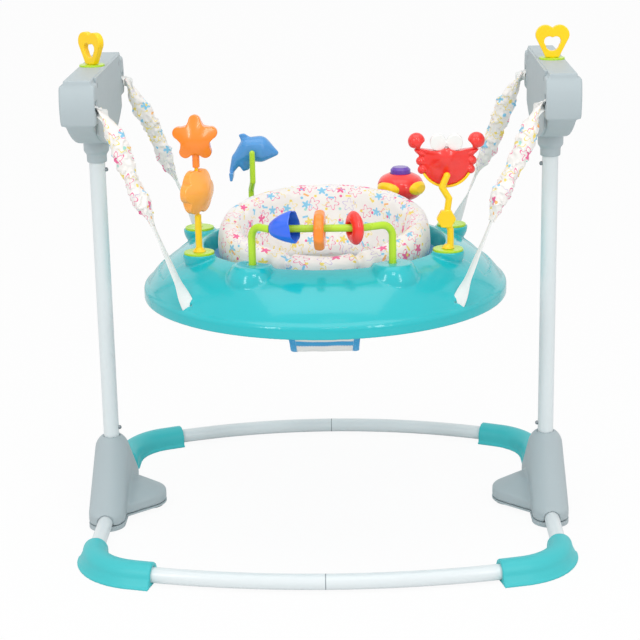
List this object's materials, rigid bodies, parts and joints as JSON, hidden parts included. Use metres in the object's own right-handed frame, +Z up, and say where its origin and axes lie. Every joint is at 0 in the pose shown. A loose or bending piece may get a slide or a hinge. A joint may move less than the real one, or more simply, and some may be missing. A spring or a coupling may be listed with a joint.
{
  "type": "baby jumper",
  "caption": "Two-post floor frame that hangs a round play tray on sprung straps, with a turning padded seat and toys round the tray.",
  "frame": {"origin": "on the floor at the middle of the base ring", "axes": "+X to the right as seen from the front, -Y to the front with the bead bar, +Z up"},
  "size_m": [0.824, 0.7704, 0.8355],
  "materials": {
    "tube": "white enamelled steel tube",
    "grey_plastic": "light grey moulded plastic",
    "tray_teal": "teal moulded plastic, semi-gloss",
    "boot_teal": "teal soft plastic",
    "rubber": "black rubber",
    "steel": "zinc-plated steel",
    "yellow": "yellow plastic",
    "lime": "lime plastic",
    "orange": "orange plastic",
    "amber": "light orange plastic",
    "sea_blue": "mid blue plastic",
    "bead_blue": "deep blue plastic",
    "ring_blue": "blue plastic",
    "red": "red plastic",
    "purple": "purple plastic",
    "white_plastic": "white plastic",
    "print": "white woven cloth with small coloured stars and dots",
    "webbing": "white polyester webbing",
    "dark_plastic": "black plastic"
  },
  "bodies": {
    "frame": {"base_tube_left": "tube", "base_tube_right": "tube", "boot_front_left": "boot_teal", "boot_front_right": "boot_teal", "boot_back_left": "boot_teal", "boot_back_right": "boot_teal", "hub_left": "grey_plastic", "hub_right": "grey_plastic", "hub_plate_left": "grey_plastic", "hub_plate_right": "grey_plastic", "rubber_pads": "rubber", "frame_screws": "steel", "post_stub_left": "tube", "post_stub_right": "tube", "post_left": "tube", "post_right": "tube", "head_spigots": "steel", "leaf_springs": "steel", "head_left": "grey_plastic", "head_right": "grey_plastic", "head_cover_left": "grey_plastic", "head_cover_right": "grey_plastic", "anchor_pins": "steel", "heart_plates": "lime", "strap_tabs": "webbing", "spring_plugs": "grey_plastic", "coil_springs": "steel", "strap_sleeves": "print"},
    "low_button_left": {"low_button_left": "steel"},
    "low_button_right": {"low_button_right": "steel"},
    "high_button_left": {"high_button_left": "steel"},
    "high_button_right": {"high_button_right": "steel"},
    "heart_left": {"heart_left": "yellow"},
    "heart_right": {"heart_right": "yellow"},
    "tray": {"tray": "tray_teal", "strap_keepers": "dark_plastic", "lower_straps": "webbing", "socket_caps": "lime", "bead_bar": "lime", "star_stalk": "yellow", "crab_stalk": "yellow", "dolphin_stem": "lime", "fish_body": "red", "fish_fins": "yellow", "fish_spring": "steel"},
    "seat": {"seat_ring": "ring_blue", "seat_retainer": "ring_blue", "seat_pad": "print", "seat_sling": "webbing"},
    "bead_fish": {"bead_fish": "bead_blue"},
    "bead_orange": {"bead_orange": "orange"},
    "bead_red": {"bead_red": "red"},
    "flower": {"flower": "amber"},
    "star": {"star": "orange"},
    "crab": {"crab_body": "red", "crab_rim": "yellow", "crab_eyes": "white_plastic"},
    "dolphin": {"dolphin": "sea_blue"},
    "fish_button": {"fish_button": "purple"}
  },
  "joints": [
    {"name": "bounce", "type": "slide", "parent": "frame", "child": "tray", "axis": [0, 0, 1], "range_m": [-0.08, 0.02], "stiffness_N_per_m": 1600, "springref_m": 0.02207, "deforming": ["strap_tabs", "spring_plugs", "coil_springs", "strap_sleeves", "lower_straps"]},
    {"name": "seat_turn", "type": "hinge", "parent": "tray", "child": "seat", "pos_m": [0, 0, 0.448], "axis": [0, 0, 1], "continuous": true},
    {"name": "heart_left_turn", "type": "hinge", "parent": "frame", "child": "heart_left", "pos_m": [-0.381, 0, 0.778], "axis": [0, 0, 1], "continuous": true},
    {"name": "heart_right_turn", "type": "hinge", "parent": "frame", "child": "heart_right", "pos_m": [0.381, 0, 0.778], "axis": [0, 0, 1], "continuous": true},
    {"name": "low_button_left_press", "type": "slide", "parent": "frame", "child": "low_button_left", "axis": [-1, 0, 0], "range_m": [0, 0.0045], "stiffness_N_per_m": 600, "springref_m": -0.002, "deforming": ["leaf_springs"]},
    {"name": "low_button_right_press", "type": "slide", "parent": "frame", "child": "low_button_right", "axis": [1, 0, 0], "range_m": [0, 0.0045], "stiffness_N_per_m": 600, "springref_m": -0.002, "deforming": ["leaf_springs"]},
    {"name": "high_button_left_press", "type": "slide", "parent": "frame", "child": "high_button_left", "axis": [-1, 0, 0], "range_m": [0, 0.0045], "stiffness_N_per_m": 600, "springref_m": -0.002, "deforming": ["leaf_springs"]},
    {"name": "high_button_right_press", "type": "slide", "parent": "frame", "child": "high_button_right", "axis": [1, 0, 0], "range_m": [0, 0.0045], "stiffness_N_per_m": 600, "springref_m": -0.002, "deforming": ["leaf_springs"]},
    {"name": "bead_fish_slide", "type": "slide", "parent": "tray", "child": "bead_fish", "axis": [1, 0, 0], "range_m": [0, 0.01]},
    {"name": "bead_orange_slide", "type": "slide", "parent": "tray", "child": "bead_orange", "axis": [1, 0, 0], "range_m": [-0.012, 0.018]},
    {"name": "bead_red_slide", "type": "slide", "parent": "tray", "child": "bead_red", "axis": [1, 0, 0], "range_m": [-0.016, 0.003]},
    {"name": "flower_spin", "type": "hinge", "parent": "tray", "child": "flower", "pos_m": [-0.20492, -0.09995, 0.586], "axis": [0, 0, 1], "continuous": true},
    {"name": "star_spin", "type": "hinge", "parent": "tray", "child": "star", "pos_m": [-0.20492, -0.09995, 0.674], "axis": [0, 0, 1], "continuous": true},
    {"name": "crab_rock", "type": "hinge", "parent": "tray", "child": "crab", "pos_m": [0.20292, -0.09995, 0.606], "axis": [0, 1, 0], "range_deg": [-20, 20]},
    {"name": "dolphin_rock", "type": "hinge", "parent": "tray", "child": "dolphin", "pos_m": [-0.12976, 0.1998, 0.592], "axis": [0, 1, 0], "range_deg": [-25, 25]},
    {"name": "fish_press", "type": "slide", "parent": "tray", "child": "fish_button", "axis": [0, 0, 1], "range_m": [-0.0045, 0], "stiffness_N_per_m": 500, "springref_m": 0.003, "deforming": ["fish_spring"]}
  ]
}
